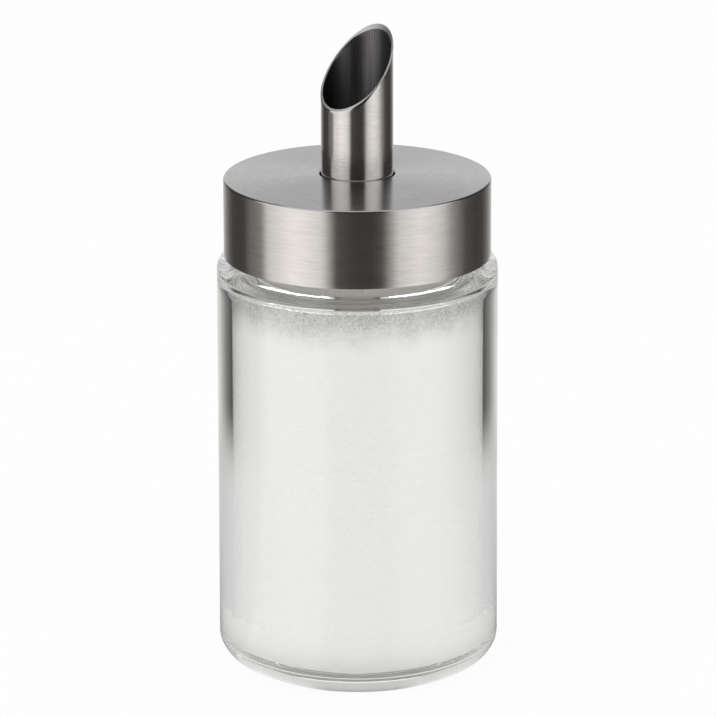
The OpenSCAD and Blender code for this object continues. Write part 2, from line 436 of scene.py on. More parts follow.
def brushing_group() -> bpy.types.ShaderNodeTree:
    """Brushing round the Z axis.

    Noise is read at (cos a, sin a) times Streaks and (r + z) times Lines, so that it hardly changes
    along a brush line and changes fast across it, on a side wall as on a top face. A second noise
    with lines about five times as wide is added.

    Returns:
        A group with outputs Lines, from 0 to 1, and Mottle, a slow change of tone.
    """
    made, graph, given, result = group(
        "Brushing round Z",
        {"Streaks": 5.0, "Lines": 2500.0, "Mottle Size": 60.0},
        ("Lines", "Mottle"),
    )
    fine_share, wide_share, wide_lines = 0.65, 0.35, 0.21
    r, turn, z = graph.about_z()
    along = [graph.math("MULTIPLY", part, given["Streaks"]) for part in turn]
    across = graph.math("MULTIPLY", graph.math("ADD", r, z), given["Lines"])
    fine = graph.noise(graph.vector(*along, across), 1.0, 3.0, 0.65)
    wide_across = graph.math("MULTIPLY", across, wide_lines)
    wide = graph.noise(graph.vector(*along, wide_across), 0.8, 2.0, 0.6)
    lines = graph.scaled((fine, fine_share), (wide, wide_share))
    mottle = graph.noise(graph.place(), given["Mottle Size"], 2.0)
    graph.feed(result, Lines=lines, Mottle=mottle)
    return made


def bore_group() -> bpy.types.ShaderNodeTree:
    """Fine lines along Z inside a bore, and masks of a bore and of the ground end of its wall.

    Mask is 1 within Radius of the Z axis, and Ground is 1 from there out to Outer.

    Returns:
        A group with outputs Mask, Ground and Lines, from 0 to 1.
    """
    made, graph, given, result = group(
        "Inside a bore",
        {"Radius": 0.01, "Outer": 0.011, "Lines": 55.0, "Length": 60.0},
        ("Mask", "Ground", "Lines"),
    )
    r, turn, z = graph.about_z()
    across = [graph.math("MULTIPLY", part, given["Lines"]) for part in turn]
    along = graph.math("MULTIPLY", z, given["Length"])
    mask = graph.math("LESS_THAN", r, given["Radius"])
    ground = graph.math("SUBTRACT", graph.math("LESS_THAN", r, given["Outer"]), mask)
    lines = graph.noise(graph.vector(*across, along), 1.0, 4.0, 0.6)
    graph.feed(result, Mask=mask, Ground=ground, Lines=lines)
    return made


def grain_group() -> bpy.types.ShaderNodeTree:
    """Grains and fine dust: cells of 1 / Size metres, each with its own tone, over soft noise.

    Returns:
        A group with outputs Tone and Height, from 0 to 1.
    """
    made, graph, given, result = group("Grains", {"Size": 1800.0}, ("Tone", "Height"))
    cell_share, dust_share, dust_size = 0.6, 0.4, 0.3
    at = graph.place()
    cell = graph.add("ShaderNodeTexVoronoi", None, Vector=at, Scale=given["Size"])
    part = graph.add("ShaderNodeSeparateColor", None, in0=cell.outputs["Color"]).outputs
    dust = graph.noise(at, graph.math("MULTIPLY", given["Size"], dust_size), 3.0, 0.6)
    tone = graph.scaled((part[0], cell_share), (dust, dust_share))
    height = graph.math("SUBTRACT", graph.math("ADD", part[1], dust), cell.outputs["Distance"])
    graph.feed(result, Tone=tone, Height=height)
    return made


class Shared:
    """The node groups that the materials place, each built once."""

    def __init__(self) -> None:
        """Builds the groups."""
        self.brushing = brushing_group()
        self.bore = bore_group()
        self.grains = grain_group()


def start_material(name: str, colour: tuple) -> tuple:
    """Makes a material with a Principled shader on its output.

    Args:
        name: the material's name.
        colour: linear base colour for the shader and for the solid view.

    Returns:
        (the material, its Graph, its Principled node).
    """
    made = bpy.data.materials.new(name)
    made.use_nodes = True
    made.diffuse_color = (*colour, 1)
    graph = Graph(made.node_tree)
    shader = graph.add("ShaderNodeBsdfPrincipled", None, Base_Color=(*colour, 1))
    graph.add("ShaderNodeOutputMaterial", None, Surface=shader.outputs[0])
    return made, graph, shader


def around(value: float, share: float = 0.15) -> tuple:
    """The span from a share below a value to a share above it."""
    return value * (1 - share), value * (1 + share)


def shaded(colour: tuple, factor: float) -> tuple:
    """A colour with each channel multiplied by a factor."""
    return tuple(channel * factor for channel in colour)


@dataclass(frozen=True)
class BrushedSteel:
    """Stainless steel brushed round the axis, so that its highlights spread along Z or along r.

    Within bore_r of the axis it is drawn steel: duller and lined along Z, and its colour is
    painted darker there as shade inside the bore. From there out to ground_r it is freshly
    ground: lighter and matt.
    """

    name: str
    colour: tuple = (0.66, 0.635, 0.615)
    roughness: float = 0.22
    stretch: float = 0.9
    streaks: float = 5.0
    lines: float = 2500.0
    contrast: float = 0.10
    depth: float = 0.006 * MM
    mottle: float = 0.6
    bore_r: float = 0.0
    bore_painted_shades: tuple = (0.3 * 0.7, 0.3 * 1.25)
    bore_roughness: float = 0.5
    ground_r: float = 0.0
    ground: tuple = (0.88, 0.87, 0.86)
    ground_roughness: float = 0.62

    def build(self, shared: Shared) -> bpy.types.Material:
        """Makes the material from the common node groups; returns it."""
        made, graph, shader = start_material(self.name, self.colour)
        brush = graph.place_group(shared.brushing, Streaks=self.streaks, Lines=self.lines)
        height = brush["Lines"]
        low, high = (shaded(self.colour, factor) for factor in around(1.0, self.contrast))
        tone = graph.ramp(height, [(0.3, low), (0.7, high)])
        wear = graph.math("ADD", height, graph.math("MULTIPLY", brush["Mottle"], self.mottle))
        roughness = graph.span(wear, 0.5, 1.1, *around(self.roughness))
        if self.bore_r > 0:
            bore = graph.place_group(shared.bore, Radius=self.bore_r, Outer=self.ground_r)
            # Painted shade: inside the bore the colour is darkened by bore_painted_shades, as shade
            # in the tube
            dark, light = (shaded(self.colour, factor) for factor in self.bore_painted_shades)
            drawn = graph.ramp(bore["Lines"], [(0.35, dark), (0.65, light)])
            tone = graph.mix_colours(bore["Mask"], tone, drawn)
            tone = graph.mix_colours(bore["Ground"], tone, (*self.ground, 1))
            roughness = graph.mix(bore["Mask"], roughness, self.bore_roughness)
            roughness = graph.mix(bore["Ground"], roughness, self.ground_roughness)
            height = graph.mix(bore["Mask"], height, bore["Lines"])
        tangent = graph.add("ShaderNodeTangent", {"direction_type": "RADIAL", "axis": "Z"})
        graph.feed(
            shader,
            Base_Color=tone,
            Roughness=roughness,
            Normal=graph.bump(height, self.depth),
            Tangent=tangent.outputs[0],
            Metallic=1.0,
            Anisotropic=self.stretch,
            Anisotropic_Rotation=0.25,
        )
        return made


@dataclass(frozen=True)
class ClearGlass:
    """Pressed clear glass with the slightest ripple. Light on its way to the sugar passes it."""

    name: str = "clear glass"
    colour: tuple = (0.975, 0.985, 0.98)
    index: float = 1.5
    ripple_scale: float = 55.0
    ripple: float = 0.003 * MM

    def build(self) -> bpy.types.Material:
        """Makes the material; returns it."""
        made, graph, shader = start_material(self.name, self.colour)
        waves = graph.noise(graph.place(), self.ripple_scale, 1.0)
        path = graph.add("ShaderNodeLightPath").outputs
        soft = graph.math("MAXIMUM", path["Is Shadow Ray"], path["Is Diffuse Ray"])
        graph.feed(
            shader,
            Normal=graph.bump(waves, self.ripple),
            Roughness=0.0,
            IOR=self.index,
            Transmission_Weight=1.0,
            Alpha=graph.math("SUBTRACT", 1.0, soft),
        )
        return made


@dataclass(frozen=True)
class WhiteSugar:
    """Refined sugar against glass: white, with grains of differing tone, darker near its top:
    partly loose grains, partly painted shade under the lid.

    Below bed_z it lies on the glass, where no air gap dims it, and bed_painted_shade darkens its
    colour there as painted shade to make up for that.
    Carried is the light that glass and grains carry in to its top, under the lid.
    """

    name: str = "white sugar"
    colour: tuple = (0.835, 0.83, 0.815)
    shade: tuple = (0.30, 0.30, 0.292)
    grain: float = 3000.0
    grain_depth: float = 0.15 * MM
    contrast: float = 0.07
    loose_contrast: float = 0.75
    loose_and_painted_shade: float = 0.3
    drift_scale: float = 140.0
    drift: float = 0.7
    carried: tuple = (0.19, 0.18, 0.17)
    carried_depth: tuple = (1.2 * MM, 0.8 * MM)
    bed_z: tuple = (14.5 * MM, 21.0 * MM)
    bed_painted_shade: float = 0.95

    def build(self, shared: Shared, top: float, fade: float) -> bpy.types.Material:
        """Makes the material.

        Args:
            shared: the common node groups.
            top: height of the sugar's top.
            fade: depth below the top over which grains lie loose and the colour is painted darker,
                as shade under the lid.

        Returns:
            The finished material.
        """
        made, graph, shader = start_material(self.name, self.colour)
        grains = graph.place_group(shared.grains, Size=self.grain)
        z = graph.parts()[2]
        drift = graph.math("SUBTRACT", graph.noise(graph.place(), self.drift_scale, 3.0), 0.5)
        drifted = graph.math("ADD", z, graph.math("MULTIPLY", drift, fade * self.drift))
        # Near the top the colour is painted darker: partly loose grains, partly painted shade under
        # the lid
        loose = graph.span(drifted, top - fade, top, eased=True)
        looser = graph.math("MULTIPLY", loose, self.loose_contrast)
        spread = graph.math("ADD", looser, self.contrast)
        darker = graph.math("MULTIPLY", graph.math("SUBTRACT", 1.0, grains["Tone"]), spread)
        factor = graph.math("ADD", darker, graph.math("MULTIPLY", loose, self.loose_and_painted_shade))
        tone = graph.mix_colours(factor, (*self.colour, 1), (*self.shade, 1))
        # Painted shade: below bed_z the colour is scaled down by bed_painted_shade
        level = graph.span(z, *self.bed_z, self.bed_painted_shade, 1.0, eased=True)
        even = graph.add("ShaderNodeVectorMath", {"operation": "SCALE"}, in0=tone, Scale=level)
        at_top = graph.span(z, *(top - depth for depth in self.carried_depth))
        graph.feed(
            shader,
            Base_Color=even.outputs[0],
            Normal=graph.bump(grains["Height"], self.grain_depth, 0.6),
            Emission_Color=graph.mix_colours(at_top, (0, 0, 0, 1), (*self.carried, 1)),
            Emission_Strength=1.0,
            Roughness=0.55,
            Specular_IOR_Level=0.4,
        )
        return made


@dataclass(frozen=True)
class MouldedPlastic:
    """Moulded plastic or soft rubber: an even colour with fine mould texture."""

    name: str
    colour: tuple
    roughness: float = 0.42
    contrast: float = 0.05
    grain: float = 2600.0
    grain_depth: float = 0.02 * MM

    def build(self, shared: Shared) -> bpy.types.Material:
        """Makes the material from the common node groups; returns it."""
        made, graph, shader = start_material(self.name, self.colour)
        grains = graph.place_group(shared.grains, Size=self.grain)
        low = shaded(self.colour, 1 - self.contrast)
        graph.feed(
            shader,
            Base_Color=graph.ramp(grains["Tone"], [(0.2, low), (0.8, self.colour)]),
            Roughness=graph.span(grains["Tone"], 0.0, 1.0, *around(self.roughness)),
            Normal=graph.bump(grains["Height"], self.grain_depth, 0.3),
        )
        return made


# Pieces


def settle(
    piece: bpy.types.Object,
    material: bpy.types.Material,
    body: Body,
    slot: Slot | None,
    *nodes: str,
) -> None:
    """Gives a new piece its material and body, hides the solids that it stands for, and reports it.

    Args:
        piece: the new object.
        material: its material.
        body: the body that it rides on.
        slot: the record's slot for its finish, or None; not used.
        nodes: the solids that it replaces.
    """
    piece.data.materials.append(material)
    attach(piece, body.value)
    if nodes:
        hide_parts(*nodes)
    LOG.info("%s: %d vertices, rides on %s", piece.name, len(piece.data.vertices), body.value)


@dataclass
class GlassJar:
    """The glass jar: thick floor, rounded heel, short shoulder, and a neck with three ridges.

    Inner_fall is the height of the inner shoulder's lower arc, and ridge_run is the angle over
    which a ridge rises at each end.
    """

    outer_r: float
    height: float
    wall: float = 3.9 * MM
    wall_top: float = 110.7 * MM
    shoulder_r: float = 3.9 * MM
    shoulder_glass: float = 5.2 * MM
    inner_fall: float = 3.8 * MM
    neck_r: float = 31.0 * MM
    neck_wall: float = 2.0 * MM
    neck_foot_r: float = 1.2 * MM
    rim_share: float = 0.4
    floor: float = 6.5 * MM
    heel: tuple = (15.4 * MM, 9.7 * MM)
    corner: tuple = (12.0 * MM, 8.0 * MM)
    hollow_r: float = 17.0 * MM
    hollow_depth: float = 1.2 * MM
    ridge_count: int = 3
    ridge_half_turn: float = math.radians(42)
    ridge_rise: float = 1.2 * MM
    ridge_z: float = 123.4 * MM
    ridge_half_height: float = 1.7 * MM
    ridge_run: float = math.radians(5)

    @property
    def inner_r(self) -> float:
        """Radius of the jar's bore."""
        return self.outer_r - self.wall

    @property
    def shoulder_top(self) -> float:
        """Height at which the neck starts."""
        return self.wall_top + self.shoulder_r

    @property
    def rim_r(self) -> float:
        """Radius of the rounding at each edge of the neck's rim."""
        return self.neck_wall * self.rim_share

    def outside(self) -> list:
        """Stretches of the outer profile, from the axis under the base up to the rim."""
        dome_r = (self.hollow_r**2 + self.hollow_depth**2) / (2 * self.hollow_depth)
        dome_a = math.degrees(math.asin(self.hollow_r / dome_r))
        neck_in = self.outer_r - self.shoulder_r
        rim = self.rim_r
        foot = min(self.neck_foot_r, neck_in - self.neck_r)
        return [
            arc((0, self.hollow_depth - dome_r), (dome_r, dome_r), 90, 90 - dome_a, 16),
            arc((self.outer_r - self.heel[0], self.heel[1]), self.heel, -90, 0, 40),
            arc((neck_in, self.wall_top), (self.shoulder_r,) * 2, 0, 90, 32),
            arc((self.neck_r + foot, self.shoulder_top + foot), (foot, foot), 270, 180, 14),
            arc((self.neck_r - rim, self.height - rim), (rim, rim), 0, 90, 12),
        ]

    def inside(self, gap: float = 0.0) -> list:
        """Stretches of the inner profile, from below the neck's rim down to the axis.

        Args:
            gap: distance to keep from the glass, for what fills the jar.

        Returns:
            Arrays of (r, z) rows, from the inner shoulder to the floor's centre.
        """
        neck_in_r = self.neck_r - self.neck_wall
        r = (self.inner_r - neck_in_r) / 2
        z = self.shoulder_top - self.shoulder_glass + r
        corner = tuple(c - gap for c in self.corner)
        return [
            arc((neck_in_r + r, z), (r + gap, r + gap), 180, 270, 20),
            arc((self.inner_r - r, z - r - self.inner_fall), (r - gap, self.inner_fall - gap),
                90, 0, 28),
            arc((self.inner_r - self.corner[0], self.floor + self.corner[1]), corner, 0, -90, 32),
            np.array([[0, self.floor + gap]]),
        ]

    def ridges(self, r: np.ndarray, z: np.ndarray, a: np.ndarray) -> np.ndarray:
        """Height of the neck's ridges: a cosine bump over z, times a smooth step over the angle."""
        on_neck = r > self.neck_r - 0.1 * MM
        over_z = np.clip(np.abs(z - self.ridge_z) / self.ridge_half_height, 0, 1)
        pitch = 2 * np.pi / self.ridge_count
        off = np.abs((a + pitch / 2) % pitch - pitch / 2)
        over_a = np.clip((self.ridge_half_turn - off) / self.ridge_run, 0, 1)
        bump = (0.5 + 0.5 * np.cos(np.pi * over_z)) * over_a**2 * (3 - 2 * over_a)
        return np.where(on_neck & (z > self.shoulder_top), self.ridge_rise * bump, 0)

    def build(self, glass: bpy.types.Material) -> None:
        """Builds the jar as one closed surface."""
        rim = self.rim_r
        lip = arc((self.neck_r - self.neck_wall + rim, self.height - rim), (rim, rim), 90, 180, 12)
        profile = join(*self.outside(), lip, *self.inside(), step=2.4 * MM)
        jar = turned("glass_jar_clear", profile, FINE_TURN, self.ridges)
        settle(jar, glass, Body.JAR, Slot.GLASS, "glass_jar")


@dataclass
class SugarFill:
    """The sugar in the jar, with a hole round the dosing tube and a wall of settled grains.

    Low in the jar its weight beds it on the glass, so the glass shows it there without a mirror:
    over bed_z the gap to the glass goes over to bed, which is less than nothing. Hollow is how far
    its top sags in the middle, and wander how far grains pull its wall in, over wander_z.
    """

    jar: GlassJar
    tube_r: float
    gap: float = 0.08 * MM
    bed: float = -0.06 * MM
    bed_z: tuple = (16.0 * MM, 20.0 * MM)
    bed_wander: float = 0.035 * MM
    step: float = 0.95 * MM
    hole_gap: float = 0.4 * MM
    top: float = 108.3 * MM
    hollow: float = 0.7 * MM
    hole_foot: float = 2.5 * MM
    top_edge: float = 0.3 * MM
    wander: float = 0.06 * MM
    wander_z: tuple = (35 * MM, 75 * MM)
    bed_edge: float = 5 * MM
    # Depth below the top over which the sugar's colour is painted darker: loose grains and painted
    # shade under the lid
    loose_and_shade_depth: float = 12.5 * MM

    def profile(self) -> np.ndarray:
        """The outline of the fill: the jar's floor, corner and wall, then its top and the hole."""
        rows = np.concatenate(self.jar.inside(self.gap))[::-1]
        rows = join(rows[rows[:, 1] < self.top], step=self.step)
        wide, high = self.jar.corner
        off = rows - np.array([self.jar.inner_r - wide, self.jar.floor + high])
        outwards = np.stack([off[:, 0].clip(0, None), off[:, 1].clip(None, 0)], 1)
        outwards /= np.linalg.norm(outwards, axis=1, keepdims=True)
        low, high = self.bed_z
        bedded = 1 - np.clip((rows[:, 1:] - low) / (high - low), 0, 1)
        rows = rows + outwards * (self.gap - self.bed) * bedded
        hole_r = self.tube_r + self.hole_gap
        surface = np.linspace(rows[-1, 0] - self.top_edge, hole_r, 40)
        sag = self.hollow * (1 - (surface / surface[0]) ** 2)
        above = np.stack([surface, self.top - sag], 1)
        foot = self.jar.floor + self.hole_foot
        hole = np.array([[hole_r, foot], [0, foot]])
        return join(rows, above, hole, step=self.step)

    def grains(self, r: np.ndarray, z: np.ndarray, a: np.ndarray) -> np.ndarray:
        """Pulls the wall in by seeded waves, most in the upper half, and frays the bed's edge."""
        wave = smooth_noise(r, z, a, seed=5, size=3.2 * MM)
        wave = wave + 0.6 * smooth_noise(r, z, a, seed=6, size=1.6 * MM)
        low, high = self.wander_z
        share = np.clip((z - low) / (high - low), 0, 1)
        near_bed = np.clip(1 - np.abs(z - sum(self.bed_z) / 2) / self.bed_edge, 0, 1)
        # The waves leave the hole's wall alone, and grow over as much again beyond it
        hole_wall = 4 * MM
        at_wall = np.clip((r - self.tube_r - hole_wall) / hole_wall, 0, 1)
        inwards = self.wander * (0.75 + wave).clip(0, 3) * share
        return (self.bed_wander * wave * near_bed - inwards) * at_wall

    def build(self, sugar: bpy.types.Material) -> None:
        """Builds the fill as one closed surface."""
        fill = turned("sugar_fill", self.profile(), FINE_TURN, self.grains)
        settle(fill, sugar, Body.JAR, None)


@dataclass
class SteelLid:
    """The drawn steel shell of the lid: a low domed top, rounded at its rim and round its hole.

    Top is its height at the hole, and hem is the rounding of its lower outer edge.
    """

    outer_r: float
    low: float
    top: float
    spout_r: float
    hole_gap: float = 0.35 * MM
    sheet: float = 0.6 * MM
    edge_r: float = 0.6 * MM
    crown: float = 1.3 * MM
    hem: float = 0.15 * MM

    @property
    def hole_r(self) -> float:
        """Radius of the hole for the spout."""
        return self.spout_r + self.hole_gap

    def sag(self, r: np.ndarray | float) -> np.ndarray:
        """How far the dome lies below its apex at radius r: a circle's drop, crown at the rim."""
        reach = self.outer_r - self.edge_r
        dome_r = (reach**2 + self.crown**2) / (2 * self.crown)
        return dome_r - np.sqrt(dome_r**2 - r**2)

    def build(self, steel: bpy.types.Material) -> None:
        """Builds the shell from its section, which closes on itself."""
        e, inner, hem = self.edge_r, self.outer_r - self.sheet, self.hem
        reach = self.outer_r - e
        apex = self.top + self.sag(self.hole_r + e)
        rim = apex - self.sag(reach)
        over = np.linspace(reach, self.hole_r + e, 60)
        under = np.linspace(self.hole_r, inner, 30)
        section = join(
            arc((self.outer_r - hem, self.low + hem), (hem, hem), -90, 0, 6),
            arc((reach, rim - e), (e, e), 0, 90, 14),
            np.stack([over, apex - self.sag(over)], 1),
            arc((self.hole_r + e, self.top - e), (e, e), 90, 180, 14),
            np.stack([under, rim - self.sheet + self.sag(inner) - self.sag(under)], 1),
            np.array([[inner, self.low], [self.outer_r - hem, self.low]]),
            step=1.5 * MM,
        )[:-1]
        shell = turned("lid_shell_brushed", section, FINE_TURN)
        settle(shell, steel, Body.LID, Slot.LID_STEEL, "lid_shell")


@dataclass
class LinerLugs:
    """The three lugs inside the liner's skirt, which catch under the neck's ridges.

    Each starts at lift over the skirt's lower edge, its flanks lean by slant, and it is rooted
    by root in the skirt's wall.
    """

    skirt_r: float
    low: float
    skirt: float = 2.3 * MM
    lift: float = 1.0 * MM
    slant: float = 0.7 * MM
    root: float = 0.05 * MM
    reach: float = 1.25 * MM
    height: float = 2.6 * MM
    half_turn: float = math.radians(12)
    count: int = 3

    def build(self, plastic: bpy.types.Material) -> None:
        """Builds each lug as a bent bar whose section is a trapezium, closed at both ends."""
        skirt_in_r = self.skirt_r - self.skirt
        outer, inner = skirt_in_r + self.root, skirt_in_r - self.reach
        low, high = self.low + self.lift, self.low + self.lift + self.height
        section = np.array(
            [[outer, low], [outer, high], [inner, high - self.slant], [inner, low + self.slant]]
        )
        steps = 13
        for number in range(self.count):
            middle = 2 * math.pi * number / self.count
            angle = middle + np.linspace(-self.half_turn, self.half_turn, steps)
            r, a = np.meshgrid(section[:, 0], angle)
            z = np.tile(section[:, 1], (steps, 1))
            points = np.stack([r * np.cos(a), r * np.sin(a), z], -1).reshape(-1, 3)
            sides = grid_faces(steps, len(section), False)
            ends = np.array([[3, 2, 1, 0], np.arange(4) + 4 * (steps - 1)])
            lug = make_object(f"liner_lug_{number + 1}", points, [sides[:, ::-1], ends[:, ::-1]])
            settle(lug, plastic, Body.LID, Slot.PLASTIC)


@dataclass
class PouringSpout:
    """The steel tube with its slanted, hollow-ground mouth and the bevel inside its tip."""

    outer_r: float
    low: float
    tip: float
    wall: float = 0.6 * MM
    slope: float = math.radians(46)
    hollow: float = 147.0 * MM
    bevel_bite: float = 0.62 * MM
    bevel_lean: float = math.radians(18)
    bevel_r: float = 6.7 * MM
    edge: float = 0.07 * MM

    @property
    def bore_r(self) -> float:
        """Radius of the tube's bore."""
        return self.outer_r - self.wall

    @property
    def hollow_x(self) -> float:
        """Where the grinding wheel's axis lies, along the tip's direction."""
        return -self.hollow * math.sin(self.slope)

    def ground(self, x: np.ndarray | float) -> np.ndarray:
        """Height of the ground face at x towards the tip: the lower side of the wheel's circle."""
        top = self.tip + math.sqrt(self.hollow**2 - (self.outer_r - self.hollow_x) ** 2)
        return top - np.sqrt(self.hollow**2 - (x - self.hollow_x) ** 2)

    def bevel(self, x: np.ndarray, y: np.ndarray) -> np.ndarray:
        """Height of the countersink's cone over (x, y), or infinity where it has none.

        The cone's axis n is square to the ground face at the tip. A point p, counted from its apex,
        is on it where |p|^2 = (1 + flare^2) (p . n)^2, a quadratic in the height.
        """
        slope = math.asin((self.bore_r - self.hollow_x) / self.hollow)
        flare = math.tan(slope + self.bevel_lean)
        s, c = math.sin(slope), math.cos(slope)
        deep, back = self.bevel_r / flare, self.bevel_bite - self.bevel_r
        apex_x = self.bore_r + back * c + deep * s
        apex_z = float(self.ground(self.bore_r)) + back * s - deep * c
        px, k = x - apex_x, 1 + flare**2
        qa = 1 - k * c * c
        qb = 2 * k * px * s * c
        qc = px**2 + y**2 - k * px**2 * s * s
        root = np.sqrt(np.maximum(qb**2 - 4 * qa * qc, 0))
        found = np.stack([(-qb + root) / (2 * qa), (-qb - root) / (2 * qa)])
        above = found * c - px * s > 0
        height = np.where(above, found, np.inf).min(0)
        return np.where(qb**2 > 4 * qa * qc, apex_z + height, np.inf)

    def rim(self, r: np.ndarray, a: np.ndarray) -> np.ndarray:
        """Height of the mouth's rim at radius r and angle a from the tip."""
        x, y = r * np.cos(a), r * np.sin(a)
        return np.minimum(self.ground(x), self.bevel(x, y))

    def build(self, steel: bpy.types.Material) -> None:
        """Builds the tube: rings up its outside, across the rounded rim, and down its bore."""
        columns, wall_rings, rim_rings = SPOUT_TURN, 40, 12
        a = np.linspace(0, 2 * np.pi, columns, endpoint=False)
        share = np.linspace(0, 1, wall_rings)[:, None]
        out_top = self.rim(np.full(columns, self.outer_r), a) - self.edge
        bore_top = self.rim(np.full(columns, self.bore_r), a) - self.edge
        outside_z = self.low + share * (out_top - self.low)
        bore_z = bore_top - share * (bore_top - self.low)
        across = np.linspace(self.outer_r - self.edge, self.bore_r + self.edge, rim_rings)[:, None]
        outside, bore = (np.full((wall_rings, 1), radius) for radius in (self.outer_r, self.bore_r))
        rings_r = np.concatenate([outside, across, bore])
        z = np.concatenate([outside_z, self.rim(across, a[None, :]), bore_z])
        r = np.repeat(rings_r, columns, 1)
        turn = a[None, :] + MOUTH_TURN
        points = np.stack([r * np.cos(turn), r * np.sin(turn), z], -1).reshape(-1, 3)
        faces = [grid_faces(len(z), columns, True)]
        tube = make_object("spout_tube_ground", points, faces, sharp=50)
        settle(tube, steel, Body.LID, Slot.SPOUT_STEEL, "spout_tube")


# Setting


def stand(
    made: bpy.types.Object, side: np.ndarray, top: np.ndarray, back: np.ndarray, place: tuple
) -> None:
    """Links a camera or a lamp to the scene, with its X, Y and Z along side, top and back.

    Args:
        made: the camera or lamp, which looks along its -Z.
        side: unit vector to its right.
        top: unit vector upwards.
        back: unit vector away from what it looks at.
        place: where it stands.
    """
    bpy.context.scene.collection.objects.link(made)
    matrix = np.eye(4)
    matrix[:3] = np.stack([side, top, back, place], 1)
    made.matrix_world = Matrix(matrix.tolist())


@dataclass(frozen=True)
class Lens:
    """The camera, fitted to the outlines of jar, lid and spout in a square picture."""

    lift: float = math.radians(16.497)
    distance: float = 1626.14 * MM
    aim: tuple = (0.086 * MM, 0.0, 85.447 * MM)
    focal: float = 305.39
    roll: float = math.radians(-0.15)

    def build(self) -> None:
        """Places the camera: back from its aim along the view, then turned about it by roll."""
        view = np.array([0.0, math.cos(self.lift), -math.sin(self.lift)])
        right, up = np.array([1.0, 0, 0]), np.array([0, math.sin(self.lift), math.cos(self.lift)])
        c, s = math.cos(self.roll), math.sin(self.roll)
        place = np.array(self.aim) - view * self.distance
        made = bpy.data.objects.new("lens", bpy.data.cameras.new("lens"))
        stand(made, c * right + s * up, c * up - s * right, -view, place)
        made.data.lens = self.focal
        made.data.clip_start, made.data.clip_end = 0.01, 50.0
        bpy.context.scene.camera = made


@dataclass(frozen=True)
class SoftLamp:
    """A square area lamp that lights only what scatters light."""

    name: str
    place: tuple
    power: float
    size: float = 1.0
    aim: tuple = (0.0, 0.0, 80 * MM)

    def build(self) -> None:
        """Places the lamp so that it faces its aim."""
        data = bpy.data.lights.new(self.name, "AREA")
        data.shape, data.size, data.energy = "SQUARE", self.size, self.power
        made = bpy.data.objects.new(self.name, data)
        back = np.array(self.place) - np.array(self.aim)
        back /= np.linalg.norm(back)
        side = np.cross([0, 0, 1.0], back)
        side /= np.linalg.norm(side)
        stand(made, side, np.cross(back, side), back, self.place)
        made.visible_camera = made.visible_glossy = made.visible_transmission = False


